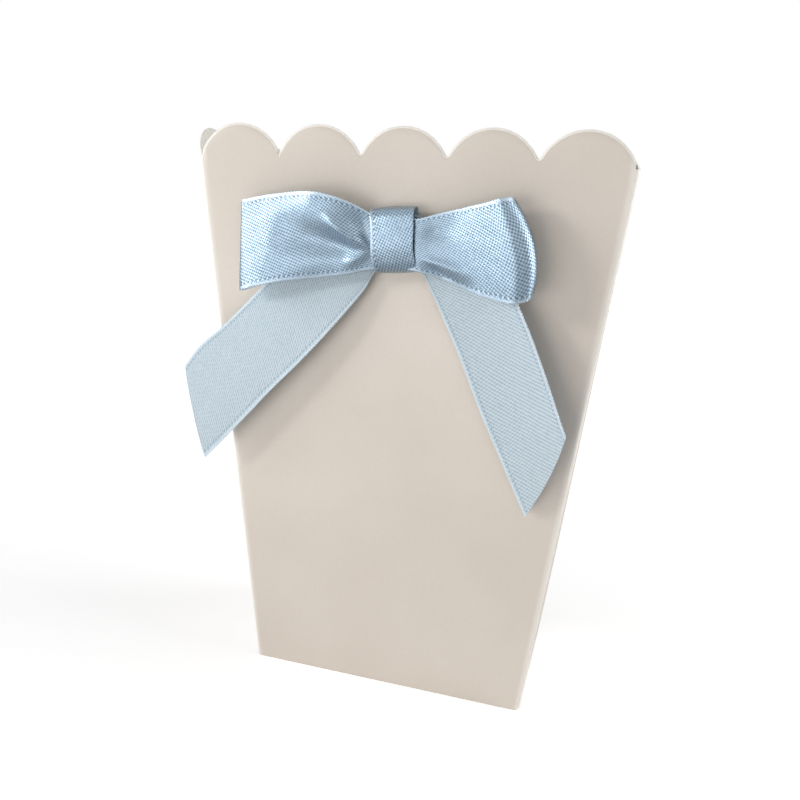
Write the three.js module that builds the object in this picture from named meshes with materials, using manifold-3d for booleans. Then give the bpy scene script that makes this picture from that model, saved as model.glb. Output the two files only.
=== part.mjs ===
// Scalloped popcorn favour box with a ribbon bow, in millimetres, +Z up.
// The origin is the middle of the bottom face. The front wall faces -Y.

import * as THREE from 'three';
import { mergeVertices } from 'three/addons/utils/BufferGeometryUtils.js';
import Module from 'manifold-3d';

const wasm = await Module();
wasm.setup();

// Driving dimensions of the carton
const CARD = 0.45;                // thickness of the board
const FRONT_TOP_WIDTH = 95;       // front wall between its top corners
const FRONT_BOTTOM_WIDTH = 68;    // front wall along the bottom
const SIDE_TOP_DEPTH = 57;        // side wall between its top corners
const WALL_SLANT = 127;           // front wall from the bottom to the valleys, along the board
const FRONT_SCALLOPS = 5;
const SIDE_SCALLOPS = 3;
const SCALLOP_RISE = 5.8;         // valley to crown
const VALLEY_HALF_WIDTH = 0.45;   // half the width of the rounded notch between two scallops
const CORNER_DROP = 1.5;          // the fold stops this far below the valleys
const FOLD_RADIUS = 0.9;          // outside radius of the vertical folds
const TOUCH_GAP = 0.3;            // gap between boards that lie on or beside each other

// Driving dimensions of the closures
const TAB_WIDTH = 12;             // seam flap
const TAB_END_SLOPE = 5;          // how far each end of the seam flap is cut back
const TONGUE_LENGTH = 12;
const TONGUE_CORNER = 7;          // corner radius of the tongue
const TONGUE_SIDE_CUT = 1.2;      // tongue narrower than the bottom panel, each side
const TONGUE_ROOT_GAP = 0.4;      // tongue to the bottom panel, at the fold
const TONGUE_RATIO = 0.3;         // degrees the tongue relaxes per degree the bottom opens
const TONGUE_SPARE = 1.7;         // degrees the tongue leans in beyond what it needs
const DUST_FLAP_LENGTH = 24;
const DUST_FLAP_CUT = 5.5;        // clear of the tongue, in front
const DUST_FLAP_BACK_CUT = 0.8;   // clear of the back wall
const DUST_FLAP_SLOPE = 4;        // narrowing towards the free end, each side
const DUST_FLAP_CORNER = 3;

// Driving dimensions of the bow
const RIBBON_WIDTH = 19;
const RIBBON = 0.4;               // thickness of the ribbon
const BOW_DROP = 17.1;            // middle of the knot below the valleys
const BOW_SHIFT = 1;              // middle of the knot to the right of the wall's middle
const DOT_RADIUS = 5.5;
const DOT_THICKNESS = 0.8;
const KNOT_WIDTH = 9.7;
const KNOT_HEIGHT = 12.9;
const KNOT_ROOM = 4.5;            // inside depth of the knot band at its crown
const PINCH_SPARE = 0.2;          // gathered ribbon to the knot band, beyond the touch gap
const LEFT_LOOP_REACH = 35.2;     // knot middle to the fold of the loop
const LEFT_LOOP_LIFT = -2.6;      // fold of the loop above the knot middle
const RIGHT_LOOP_REACH = 26.9;
const RIGHT_LOOP_LIFT = 0.5;
const RIGHT_LOOP_SLANT = 2.75;    // half the slant of the right fold
const LOOP_SWELL = 5.8;           // how far the front of a loop stands above its root
const LEFT_FOLD_DROP = 2.4;       // crown of the loop down to the tip of its fold
const RIGHT_FOLD_DROP = 2.8;
const FOLD_TURN = 1.9;            // tip of the fold down to the back of the loop
const PLEAT_DEPTH = 0.95;         // gathers in the front of each loop, at the knot
const PLEAT_ROOM = 1.1;           // room for the gathers between front and back, at the knot
const TAIL_LEAD = 7.4;            // the tails head sideways for about this far beyond the knot
const TAIL_TURN_OUT = 17.5;       // they have turned down by here, from the knot middle
const TAIL_TURN_DOWN = 11.8;
const TAIL_OPENING = 13;          // a tail is at its full width this far beyond the knot
const LEFT_TAIL_REACH = 54;       // knot middle to the end of the tail's middle line
const LEFT_TAIL_DROP = 48;
const LEFT_TURN_STAND = 0.4;      // how far it stands out from its root where it turns
const LEFT_TAIL_STAND = 4;        // and at its end
const LEFT_TAIL_CUT = 13.7;       // slant of the cut end, along the ribbon
const RIGHT_TAIL_REACH = 38.5;
const RIGHT_TAIL_DROP = 54.5;
const RIGHT_TURN_STAND = 1.6;
const RIGHT_TAIL_STAND = 4;
const RIGHT_TAIL_CUT = 15.2;
const RIGHT_TAIL_TILT = 0.34;     // rise of its right edge, as a slope
const TILT_START = 18;            // the tilt grows between these places along the tail
const TILT_END = 38;

// Worked out from the driving dimensions
const TAPER = FRONT_BOTTOM_WIDTH / FRONT_TOP_WIDTH;
const SIDE_BOTTOM_DEPTH = SIDE_TOP_DEPTH * TAPER;   // the four folds aim at one point
const FRONT_LEAN_RUN = (SIDE_TOP_DEPTH - SIDE_BOTTOM_DEPTH) / 2;
const SIDE_LEAN_RUN = (FRONT_TOP_WIDTH - FRONT_BOTTOM_WIDTH) / 2;
const HEIGHT = Math.sqrt(WALL_SLANT ** 2 - FRONT_LEAN_RUN ** 2);
const SIDE_SLANT = Math.hypot(HEIGHT, SIDE_LEAN_RUN);
const FRONT_LEAN = Math.atan2(FRONT_LEAN_RUN, HEIGHT);
const SIDE_LEAN = Math.atan2(SIDE_LEAN_RUN, HEIGHT);
const SIDE_LIFT = CARD + TOUCH_GAP;                 // side walls end above the bottom panel

const boardColour = 0xd9cfc4;
const cutColour = 0xf3efe8;
const satinColour = 0xaac6e4;
const tailColour = 0xb5cbd6;

const board = () => new THREE.MeshStandardMaterial({ color: boardColour, roughness: 0.45, metalness: 0 });
const inside = () => new THREE.MeshStandardMaterial({ color: cutColour, roughness: 0.8, metalness: 0 });
const satin = () => new THREE.MeshStandardMaterial({ color: satinColour, roughness: 0.35, metalness: 0 });
const dull = () => new THREE.MeshStandardMaterial({ color: tailColour, roughness: 0.6, metalness: 0 });
const glue = () => new THREE.MeshStandardMaterial({ color: 0xe8e6dc, roughness: 0.3, metalness: 0 });

function named(name, geometry, material) {
  const mesh = new THREE.Mesh(geometry, material);
  mesh.name = name;
  return mesh;
}

function toSolid(geometry) {
  const bare = geometry.clone();
  bare.deleteAttribute('normal');
  bare.deleteAttribute('uv');
  const merged = mergeVertices(bare, 1e-4);
  return new wasm.Manifold(new wasm.Mesh({
    numProp: 3,
    vertProperties: new Float32Array(merged.attributes.position.array),
    triVerts: new Uint32Array(merged.index.array),
  }));
}

function toGeometry(solid) {
  const mesh = solid.getMesh();
  const geometry = new THREE.BufferGeometry();
  geometry.setAttribute('position', new THREE.BufferAttribute(new Float32Array(mesh.vertProperties), 3));
  geometry.setIndex(new THREE.BufferAttribute(new Uint32Array(mesh.triVerts), 1));
  geometry.computeVertexNormals();
  return geometry;
}

// A flat board cut to an outline. Its outer face is z = 0 and it lies behind that.
function boardFrom(outline, segments = 10) {
  const geometry = new THREE.ExtrudeGeometry(outline, {
    depth: CARD, bevelEnabled: false, curveSegments: segments,
  });
  geometry.translate(0, 0, -CARD);
  return geometry;
}

// Adds the scalloped top edge to an outline, from right to left.
// Each scallop is one arc, and the notch between two scallops is a small curve.
function addScallops(outline, width, height, count, endTrim) {
  const pitch = width / count;
  const half = pitch / 2;
  const radius = (half ** 2 + SCALLOP_RISE ** 2) / (2 * SCALLOP_RISE);
  const centreY = height + SCALLOP_RISE - radius;
  for (let i = count - 1; i >= 0; i--) {
    const centreX = -width / 2 + (i + 0.5) * pitch;
    const reachRight = half - (i === count - 1 ? endTrim : VALLEY_HALF_WIDTH);
    const reachLeft = half - (i === 0 ? endTrim : VALLEY_HALF_WIDTH);
    const start = Math.acos(reachRight / radius);
    const end = Math.PI - Math.acos(reachLeft / radius);
    outline.absarc(centreX, centreY, radius, start, end, false);
    if (i > 0) {
      const nextX = centreX - half - VALLEY_HALF_WIDTH;
      const nextY = centreY + Math.sqrt(radius ** 2 - (half - VALLEY_HALF_WIDTH) ** 2);
      outline.quadraticCurveTo(centreX - half, height, nextX, nextY);
    }
  }
}

// A prism between two sections of like outline, lower at y = low and upper at y = high.
function loft(sectionAt, low, high) {
  const lower = sectionAt(low);
  const upper = sectionAt(high);
  const count = lower.length;
  const positions = [];
  for (const [section, y] of [[lower, low], [upper, high]]) {
    for (const point of section) positions.push(point.x, y, point.y);
  }
  const index = [];
  for (let i = 0; i < count; i++) {
    const next = (i + 1) % count;
    index.push(i, count + i, next, next, count + i, count + next);
  }
  for (const [a, b, c] of THREE.ShapeUtils.triangulateShape(lower, [])) {
    index.push(a, b, c);
    index.push(count + a, count + c, count + b);
  }
  const geometry = new THREE.BufferGeometry();
  geometry.setAttribute('position', new THREE.Float32BufferAttribute(positions, 3));
  geometry.setIndex(index);
  return geometry;
}

// Section of a side wall at height y: the flat board with a rounded fold at each end.
function sideSection(y) {
  const corner = SIDE_BOTTOM_DEPTH / 2 + FRONT_LEAN_RUN * (y / SIDE_SLANT);
  const centre = corner - FOLD_RADIUS;
  const steps = 6;
  const outer = [];
  const inner = [];
  for (let i = 0; i <= steps; i++) {
    const angle = (i / steps) * Math.PI / 2;
    const reach = new THREE.Vector2(Math.cos(angle), Math.sin(angle));
    outer.push(new THREE.Vector2(centre, -FOLD_RADIUS).addScaledVector(reach, FOLD_RADIUS));
    inner.push(new THREE.Vector2(centre, -FOLD_RADIUS).addScaledVector(reach, FOLD_RADIUS - CARD));
  }
  const mirrored = (points) => points.map((point) => new THREE.Vector2(-point.x, point.y)).reverse();
  return [...outer, ...mirrored(outer), ...mirrored(inner).reverse(), ...inner.reverse()];
}

// What the die cuts away above the scallops and over the ends of the two folds.
function sideWaste() {
  const halfAt = (y) => SIDE_BOTTOM_DEPTH / 2 + FRONT_LEAN_RUN * (y / SIDE_SLANT);
  const foldEnd = SIDE_SLANT - CORNER_DROP - TOUCH_GAP;
  const trim = CARD + TOUCH_GAP;
  const beyond = SIDE_TOP_DEPTH;
  const above = SIDE_SLANT + SCALLOP_RISE * 2;
  const outline = new THREE.Shape();
  outline.moveTo(beyond, foldEnd);
  outline.lineTo(halfAt(foldEnd) - trim, foldEnd);
  addScallops(outline, SIDE_TOP_DEPTH, SIDE_SLANT, SIDE_SCALLOPS, trim);
  outline.lineTo(-(halfAt(foldEnd) - trim), foldEnd);
  outline.lineTo(-beyond, foldEnd);
  outline.lineTo(-beyond, above);
  outline.lineTo(beyond, above);
  outline.closePath();
  const thick = FOLD_RADIUS * 4;
  const geometry = new THREE.ExtrudeGeometry(outline, {
    depth: thick, bevelEnabled: false, curveSegments: 10,
  });
  geometry.translate(0, 0, -thick / 2);
  return toSolid(geometry);
}

// Stands a group on the bottom edge of a wall, with x along the wall, y up the
// board and z out of the box. turn is the wall's place round the box.
function wallGroup(turn, distance, lean) {
  const tilted = new THREE.Group();
  tilted.position.set(0, -distance, 0);
  tilted.rotation.x = Math.PI / 2 + lean;
  const turned = new THREE.Group();
  turned.rotation.z = turn;
  turned.add(tilted);
  return { turned, tilted };
}

const frontWall = wallGroup(0, SIDE_BOTTOM_DEPTH / 2, FRONT_LEAN);
const rightWall = wallGroup(Math.PI / 2, FRONT_BOTTOM_WIDTH / 2, SIDE_LEAN);
const backWall = wallGroup(Math.PI, SIDE_BOTTOM_DEPTH / 2, FRONT_LEAN);
const leftWall = wallGroup(-Math.PI / 2, FRONT_BOTTOM_WIDTH / 2, SIDE_LEAN);

// The front and back walls are flat boards between the folds of the side walls.
// Above the ends of the folds they reach the corner.
function broadPanel(name) {
  const halfAt = (y) => FRONT_BOTTOM_WIDTH / 2 + SIDE_LEAN_RUN * (y / WALL_SLANT);
  const trim = FOLD_RADIUS + TOUCH_GAP;
  const foldEnd = WALL_SLANT - CORNER_DROP;
  const outline = new THREE.Shape();
  outline.moveTo(-(halfAt(0) - trim), 0);
  outline.lineTo(halfAt(0) - trim, 0);
  outline.lineTo(halfAt(foldEnd) - trim, foldEnd);
  outline.lineTo(halfAt(foldEnd), foldEnd);
  addScallops(outline, FRONT_TOP_WIDTH, WALL_SLANT, FRONT_SCALLOPS, 0);
  outline.lineTo(-halfAt(foldEnd), foldEnd);
  outline.lineTo(-(halfAt(foldEnd) - trim), foldEnd);
  outline.closePath();
  return named(name, boardFrom(outline), board());
}

function sidePanel(name) {
  const channel = loft(sideSection, SIDE_LIFT, SIDE_SLANT + SCALLOP_RISE);
  return named(name, toGeometry(toSolid(channel).subtract(sideWaste())), board());
}

// Seam flap, glued behind the back wall along its left fold as seen from the front.
function glueTab() {
  const edge = FOLD_RADIUS + TOUCH_GAP;
  const start = SIDE_LIFT + TAB_END_SLOPE / 2;
  const stop = WALL_SLANT - CORNER_DROP - TAB_END_SLOPE / 2;
  const halfAt = (y) => FRONT_BOTTOM_WIDTH / 2 + SIDE_LEAN_RUN * (y / WALL_SLANT) - edge;
  const outline = new THREE.Shape();
  outline.moveTo(halfAt(start), start);
  outline.lineTo(halfAt(stop), stop);
  outline.lineTo(halfAt(stop) - TAB_WIDTH, stop - TAB_END_SLOPE);
  outline.lineTo(halfAt(start) - TAB_WIDTH, start + TAB_END_SLOPE);
  outline.closePath();
  const mesh = named('glue_tab', boardFrom(outline), inside());
  mesh.position.z = -CARD - TOUCH_GAP;
  return mesh;
}

// Bottom closure. Inner faces of the walls at the bottom set every outline.
const innerFrontY = -SIDE_BOTTOM_DEPTH / 2 + CARD / Math.cos(FRONT_LEAN);
const innerSideX = FRONT_BOTTOM_WIDTH / 2 - CARD / Math.cos(SIDE_LEAN);
const bottomFrontY = innerFrontY + TOUCH_GAP;
const bottomBackY = -innerFrontY - TOUCH_GAP;
const bottomLength = bottomBackY - bottomFrontY;
const bottomHalf = FRONT_BOTTOM_WIDTH / 2 - FOLD_RADIUS - TOUCH_GAP;

function flatBoard(name, outline, bottomZ, material) {
  const mesh = named(name, boardFrom(outline, 6), material);
  mesh.position.z = bottomZ + CARD;
  return mesh;
}

function bottomPanel() {
  const outline = new THREE.Shape();
  outline.moveTo(-bottomHalf, bottomFrontY);
  outline.lineTo(bottomHalf, bottomFrontY);
  outline.lineTo(bottomHalf, bottomBackY);
  outline.lineTo(-bottomHalf, bottomBackY);
  outline.closePath();
  return flatBoard('bottom_panel', outline, 0, board());
}

// The tongue leans in so that its tip clears the front wall all the way out.
function tuckTongue() {
  const half = bottomHalf - TONGUE_SIDE_CUT;
  const end = TONGUE_LENGTH - TONGUE_CORNER;
  const outline = new THREE.Shape();
  outline.moveTo(-half, TONGUE_ROOT_GAP);
  outline.lineTo(half, TONGUE_ROOT_GAP);
  outline.lineTo(half, end);
  outline.absarc(half - TONGUE_CORNER, end, TONGUE_CORNER, 0, Math.PI / 2, false);
  outline.absarc(-half + TONGUE_CORNER, end, TONGUE_CORNER, Math.PI / 2, Math.PI, false);
  outline.closePath();
  const reach = TONGUE_LENGTH / bottomLength;
  const lean = Math.asin(reach / 2) + TONGUE_RATIO * Math.asin(reach)
    + THREE.MathUtils.degToRad(TONGUE_SPARE);
  const mesh = named('tuck_tongue', boardFrom(outline, 6), board());
  mesh.position.set(0, bottomFrontY, CARD);
  mesh.rotation.x = Math.PI / 2 - lean;
  return mesh;
}

// side is 1 on the right and -1 on the left.
function dustFlap(name, side) {
  const wallX = innerSideX + Math.tan(SIDE_LEAN) * SIDE_LIFT;
  const root = side * (wallX - TOUCH_GAP);
  const tip = root - side * DUST_FLAP_LENGTH;
  const front = bottomFrontY + DUST_FLAP_CUT;
  const back = bottomBackY - DUST_FLAP_BACK_CUT;
  const tipFront = front + DUST_FLAP_SLOPE;
  const tipBack = back - DUST_FLAP_SLOPE;
  const outline = new THREE.Shape();
  outline.moveTo(root, front);
  outline.lineTo(root, back);
  outline.lineTo(tip + side * DUST_FLAP_CORNER, tipBack);
  outline.quadraticCurveTo(tip, tipBack, tip, tipBack - DUST_FLAP_CORNER);
  outline.lineTo(tip, tipFront + DUST_FLAP_CORNER);
  outline.quadraticCurveTo(tip, tipFront, tip + side * DUST_FLAP_CORNER, tipFront);
  outline.closePath();
  return flatBoard(name, outline, SIDE_LIFT, inside());
}

// A strip of ribbon as a closed solid. place(s, t) gives the middle of the ribbon,
// s from 0 to 1 along it and t from -1 to 1 across it.
function ribbonStrip(place, alongCount, acrossCount) {
  const rows = alongCount + 1;
  const columns = acrossCount + 1;
  const step = 1e-3;
  const middle = [];
  for (let i = 0; i < rows; i++) {
    for (let j = 0; j < columns; j++) {
      const s = i / alongCount;
      const t = -1 + (2 * j) / acrossCount;
      const ds = place(Math.min(s + step, 1), t).sub(place(Math.max(s - step, 0), t));
      const dt = place(s, Math.min(t + step, 1)).sub(place(s, Math.max(t - step, -1)));
      middle.push({ point: place(s, t), normal: ds.cross(dt).normalize() });
    }
  }
  const positions = [];
  for (const face of [1, -1]) {
    for (const { point, normal } of middle) {
      positions.push(...point.clone().addScaledVector(normal, face * RIBBON / 2).toArray());
    }
  }
  const index = [];
  const quad = (a, b, c, d) => index.push(a, b, c, a, c, d);
  const at = (face, i, j) => face * rows * columns + i * columns + j;
  for (let i = 0; i < alongCount; i++) {
    for (let j = 0; j < acrossCount; j++) {
      quad(at(0, i, j), at(0, i + 1, j), at(0, i + 1, j + 1), at(0, i, j + 1));
      quad(at(1, i, j), at(1, i, j + 1), at(1, i + 1, j + 1), at(1, i + 1, j));
    }
    quad(at(0, i, 0), at(1, i, 0), at(1, i + 1, 0), at(0, i + 1, 0));
    quad(at(0, i, acrossCount), at(0, i + 1, acrossCount), at(1, i + 1, acrossCount), at(1, i, acrossCount));
  }
  for (let j = 0; j < acrossCount; j++) {
    quad(at(0, 0, j), at(0, 0, j + 1), at(1, 0, j + 1), at(1, 0, j));
    quad(at(0, alongCount, j), at(1, alongCount, j), at(1, alongCount, j + 1), at(0, alongCount, j + 1));
  }
  const geometry = new THREE.BufferGeometry();
  geometry.setAttribute('position', new THREE.Float32BufferAttribute(positions, 3));
  geometry.setIndex(index);
  geometry.computeVertexNormals();
  return geometry;
}

// Layers of the bow, measured out from the face of the front wall.
const dotBase = TOUCH_GAP;
const knotBack = dotBase + DOT_THICKNESS + TOUCH_GAP;
const tailRoot = knotBack + RIBBON * 1.5 + TOUCH_GAP;
const backRoot = tailRoot + RIBBON + TOUCH_GAP;
const frontRoot = backRoot + RIBBON + PLEAT_ROOM;
const knotCrown = knotBack + RIBBON + KNOT_ROOM;
const HALF_RIBBON = RIBBON_WIDTH / 2;
const PINCHED_HALF = KNOT_HEIGHT / 2 - RIBBON - TOUCH_GAP - PINCH_SPARE;
const gripEnd = KNOT_WIDTH / 2;
const smooth = THREE.MathUtils.smoothstep;

// A loop runs from the knot out along its front, round the fold and back behind.
// reach is the fold's distance, slant tips the fold line, lift moves the fold up or down.
function loopPlace({ side, reach, slant, lift, swellAt, foldDrop, pleats }) {
  const start = TOUCH_GAP / 2;
  const crown = frontRoot + LOOP_SWELL;
  const path = new THREE.CatmullRomCurve3([
    new THREE.Vector3(0, 0, frontRoot),
    new THREE.Vector3(0.16, 0, frontRoot),
    new THREE.Vector3(0.3, 0, frontRoot + LOOP_SWELL * 0.22),
    new THREE.Vector3(0.5, 0, frontRoot + LOOP_SWELL * 0.62),
    new THREE.Vector3(swellAt, 0, crown),
    new THREE.Vector3(0.94, 0, crown - foldDrop * 0.35),
    new THREE.Vector3(1, 0, crown - foldDrop),
    new THREE.Vector3(0.94, 0, crown - foldDrop - FOLD_TURN),
    new THREE.Vector3(0.7, 0, backRoot + LOOP_SWELL * 0.42),
    new THREE.Vector3(0.35, 0, backRoot + LOOP_SWELL * 0.2),
    new THREE.Vector3(0.14, 0, backRoot + 0.1),
    new THREE.Vector3(0, 0, backRoot),
  ], false, 'catmullrom', 0.5);
  return (s, t) => {
    const point = path.getPoint(s);
    const out = point.x;
    const opened = smooth(out * reach, gripEnd + 0.5, gripEnd + reach * 0.45);
    const half = PINCHED_HALF + (HALF_RIBBON - PINCHED_HALF) * opened;
    const fold = reach - slant * t;
    const front = smooth(point.z, backRoot + 0.4, frontRoot);
    const gathered = (1 - opened) * (0.35 + 4.6 * opened);
    const wave = Math.cos(Math.PI * (pleats.count * t + pleats.phase));
    const pleat = pleats.depth * front * gathered * wave;
    const x = side * (start + (fold - start) * out);
    const y = t * half + lift * smooth(out, 0.2, 1);
    return new THREE.Vector3(x, y, point.z + pleat);
  };
}

// The middle line of a tail: straight through the knot, then one curve to its end.
function tailRoute({ side, reach, drop, turnStand, stand }) {
  const at = (x, y, z) => new THREE.Vector3(side * x, y, tailRoot + z);
  const grip = at(gripEnd, 0, 0);
  const route = new THREE.CurvePath();
  route.add(new THREE.LineCurve3(at(TOUCH_GAP / 2, 0, 0), grip));
  route.add(new THREE.CubicBezierCurve3(grip, at(gripEnd + TAIL_LEAD, 0, 0),
    at(TAIL_TURN_OUT, -TAIL_TURN_DOWN, turnStand), at(reach, -drop, stand)));
  return route;
}

// A tail hangs free. Its end is cut at a slant, longEdge says which edge is the
// longer, and tilt raises the edge at t = 1.
function tailPlace({ tilt, slantCut, longEdge, ...line }) {
  const route = tailRoute(line);
  const length = route.getLength();
  return (s, t) => {
    const cut = slantCut * (1 - longEdge * t) / 2;
    const share = s * (1 - cut / length);
    const along = share * length;
    const point = route.getPointAt(share);
    const heading = route.getTangentAt(share);
    const opened = smooth(along, gripEnd, gripEnd + TAIL_OPENING);
    const half = PINCHED_HALF + (HALF_RIBBON - PINCHED_HALF) * opened;
    const across = new THREE.Vector3(-heading.y, heading.x, 0).normalize();
    across.z = tilt * smooth(along, TILT_START, TILT_END);
    across.normalize();
    return point.addScaledVector(across, t * half);
  };
}

function knotBand() {
  const halfHeight = KNOT_HEIGHT / 2;
  const shell = (inset) => {
    const side = halfHeight - inset;
    const back = knotBack + inset;
    const shoulder = knotBack + (knotCrown - knotBack) * 0.72;
    const crown = knotCrown + RIBBON - inset;
    const round = 0.9;
    const outline = new THREE.Shape();
    outline.moveTo(-side + round, back);
    outline.lineTo(side - round, back);
    outline.quadraticCurveTo(side, back, side, back + round);
    outline.lineTo(side, shoulder);
    outline.quadraticCurveTo(side, crown, side * 0.45, crown);
    outline.lineTo(-side * 0.45, crown);
    outline.quadraticCurveTo(-side, crown, -side, shoulder);
    outline.lineTo(-side, back + round);
    outline.quadraticCurveTo(-side, back, -side + round, back);
    return outline;
  };
  const ring = shell(0);
  ring.holes.push(shell(RIBBON));
  const geometry = new THREE.ExtrudeGeometry(ring, {
    depth: KNOT_WIDTH, bevelEnabled: false, curveSegments: 8,
  });
  geometry.translate(0, 0, -KNOT_WIDTH / 2);
  geometry.applyMatrix4(new THREE.Matrix4().makeBasis(
    new THREE.Vector3(0, 1, 0), new THREE.Vector3(0, 0, 1), new THREE.Vector3(1, 0, 0)));
  return named('bow_knot_band', geometry, satin());
}

function glueDot() {
  const geometry = new THREE.CylinderGeometry(DOT_RADIUS, DOT_RADIUS, DOT_THICKNESS, 32);
  geometry.rotateX(Math.PI / 2);
  const mesh = named('bow_glue_dot', geometry, glue());
  mesh.position.z = dotBase + DOT_THICKNESS / 2;
  return mesh;
}

function bow() {
  const group = new THREE.Group();
  group.position.set(BOW_SHIFT, WALL_SLANT - BOW_DROP, 0);
  group.add(glueDot(), knotBand());

  const leftLoop = loopPlace({
    side: -1, reach: LEFT_LOOP_REACH, slant: 0, lift: LEFT_LOOP_LIFT,
    swellAt: 0.8, foldDrop: LEFT_FOLD_DROP,
    pleats: { depth: PLEAT_DEPTH, count: 1.5, phase: 0.2 },
  });
  const rightLoop = loopPlace({
    side: 1, reach: RIGHT_LOOP_REACH, slant: RIGHT_LOOP_SLANT, lift: RIGHT_LOOP_LIFT,
    swellAt: 0.72, foldDrop: RIGHT_FOLD_DROP,
    pleats: { depth: PLEAT_DEPTH, count: 1.5, phase: 0.6 },
  });
  group.add(named('bow_left_loop', ribbonStrip(leftLoop, 36, 8), satin()));
  group.add(named('bow_right_loop', ribbonStrip(rightLoop, 36, 8), satin()));

  const leftTail = tailPlace({
    side: -1, reach: LEFT_TAIL_REACH, drop: LEFT_TAIL_DROP,
    turnStand: LEFT_TURN_STAND, stand: LEFT_TAIL_STAND,
    tilt: 0, slantCut: LEFT_TAIL_CUT, longEdge: 1,
  });
  const rightTail = tailPlace({
    side: 1, reach: RIGHT_TAIL_REACH, drop: RIGHT_TAIL_DROP,
    turnStand: RIGHT_TURN_STAND, stand: RIGHT_TAIL_STAND,
    tilt: RIGHT_TAIL_TILT, slantCut: RIGHT_TAIL_CUT, longEdge: -1,
  });
  group.add(named('bow_left_tail', ribbonStrip(leftTail, 30, 6), dull()));
  group.add(named('bow_right_tail', ribbonStrip(rightTail, 30, 6), dull()));
  return group;
}

frontWall.tilted.add(broadPanel('front_panel'), bow());
rightWall.tilted.add(sidePanel('right_side_panel'));
backWall.tilted.add(broadPanel('back_panel'), glueTab());
leftWall.tilted.add(sidePanel('left_side_panel'));

const box = new THREE.Group();
box.add(frontWall.turned, rightWall.turned, backWall.turned, leftWall.turned);
box.add(bottomPanel(), tuckTongue(), dustFlap('left_dust_flap', -1), dustFlap('right_dust_flap', 1));

export default box;
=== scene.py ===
# Popcorn favour box: the looks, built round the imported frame.
# Lengths are in millimetres until mesh_object turns them into metres.

import math

import bpy
import numpy as np
from mathutils import Matrix, Vector

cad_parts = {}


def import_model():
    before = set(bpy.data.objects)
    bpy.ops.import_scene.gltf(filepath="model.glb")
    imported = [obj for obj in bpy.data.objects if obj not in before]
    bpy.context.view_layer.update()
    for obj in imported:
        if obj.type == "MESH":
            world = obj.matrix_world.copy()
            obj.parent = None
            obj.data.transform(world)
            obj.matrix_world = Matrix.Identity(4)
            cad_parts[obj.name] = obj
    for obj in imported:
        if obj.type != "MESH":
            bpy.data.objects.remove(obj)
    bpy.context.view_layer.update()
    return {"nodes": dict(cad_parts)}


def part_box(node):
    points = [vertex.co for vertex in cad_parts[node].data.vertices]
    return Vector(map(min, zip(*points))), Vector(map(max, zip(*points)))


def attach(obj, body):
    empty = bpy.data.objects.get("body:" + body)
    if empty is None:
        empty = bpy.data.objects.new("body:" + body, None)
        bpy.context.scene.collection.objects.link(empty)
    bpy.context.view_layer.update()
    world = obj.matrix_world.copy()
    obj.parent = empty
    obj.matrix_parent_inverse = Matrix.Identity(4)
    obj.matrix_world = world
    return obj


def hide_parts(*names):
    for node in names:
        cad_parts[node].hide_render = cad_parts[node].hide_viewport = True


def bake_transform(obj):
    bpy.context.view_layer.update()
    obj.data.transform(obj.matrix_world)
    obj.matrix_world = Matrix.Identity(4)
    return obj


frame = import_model()
nodes = frame["nodes"]

MM = 0.001

# Carton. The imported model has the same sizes, but for the scallops' rise and the corners' drop,
# which were corrected a little afterwards.
CARD = 0.45
FRONT_TOP = 95.0
FRONT_BOTTOM = 68.0
SIDE_TOP = 57.0
SLANT = 127.0
SCALLOP_RISE = 6.2       # from the valleys to the crests
VALLEY_HALF = 0.45       # half the width of a valley's rounding
CORNER_DROP = 1.0        # the folds end this far below the valleys
FRONT_SCALLOPS = 5
SIDE_SCALLOPS = 3
TAB_WIDTH = 12.0
TAB_DROP = 2.5           # the seam flap's top end lies below the folds' ends and slopes down
TAB_END_SLOPE = 5.0
TAB_FOOT_SLOPE = 4.0     # and its lower end slopes up
TAB_GAP = 0.1            # between the seam flap and the wall that it is glued to
SIDE_BOTTOM = SIDE_TOP * FRONT_BOTTOM / FRONT_TOP
HEIGHT = math.sqrt(SLANT ** 2 - ((SIDE_TOP - SIDE_BOTTOM) / 2) ** 2)
SIDE_SLANT = math.hypot(HEIGHT, (FRONT_TOP - FRONT_BOTTOM) / 2)
LEAN = math.atan2((SIDE_TOP - SIDE_BOTTOM) / 2, HEIGHT)

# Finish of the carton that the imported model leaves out
FOLD_RADIUS = 0.5        # outside radius of a fold at the floor, and how much it opens upward
FOLD_OPENING = 0.4
FOLD_STAND = 0.45        # the folds stand out past the creases, twice as far at the mouth
EDGE_BEVEL = 0.5         # pressed rim that the die leaves on a cut edge
EDGE_SINK = 0.24
LEFT_BULGE = 1.0         # the left wall bows out between its folds and the right one in
RIGHT_BULGE = -0.8
LEFT_FLARE = 1.2         # free scallops of the left wall spring outward
RIGHT_LEAN = 26.0        # degrees that those of the right wall turn in, at its middle
RIGHT_LEAN_GAIN = 14.0   # and how many more at its front end
SKEW = 0.8               # the back of the mouth leans to the left
SLIT = 0.6               # the die ran on a little at one valley of the front wall
SLIT_PLACE = 0.6         # that valley's place, as a share of half the wall's width
EDGE_ROWS = 9            # rows of faces in the scallops
WALL_ROWS = 34           # and in the wall below them
EDGE_ZONE = 4.0          # the scallops' rows begin this far below the folds' ends
TAB_EDGE_ZONE = 3.0      # and this far below the seam flap's top end
FOLD_STEPS = 6           # faces round a fold
LOWER_EDGE = {"back": 0.5, "right": 1.2, "front": 0.0, "left": 1.2, "tab": 3.0}
NEXT_WALL = {"back": "right", "right": "front", "front": "left", "left": "tab"}

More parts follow.
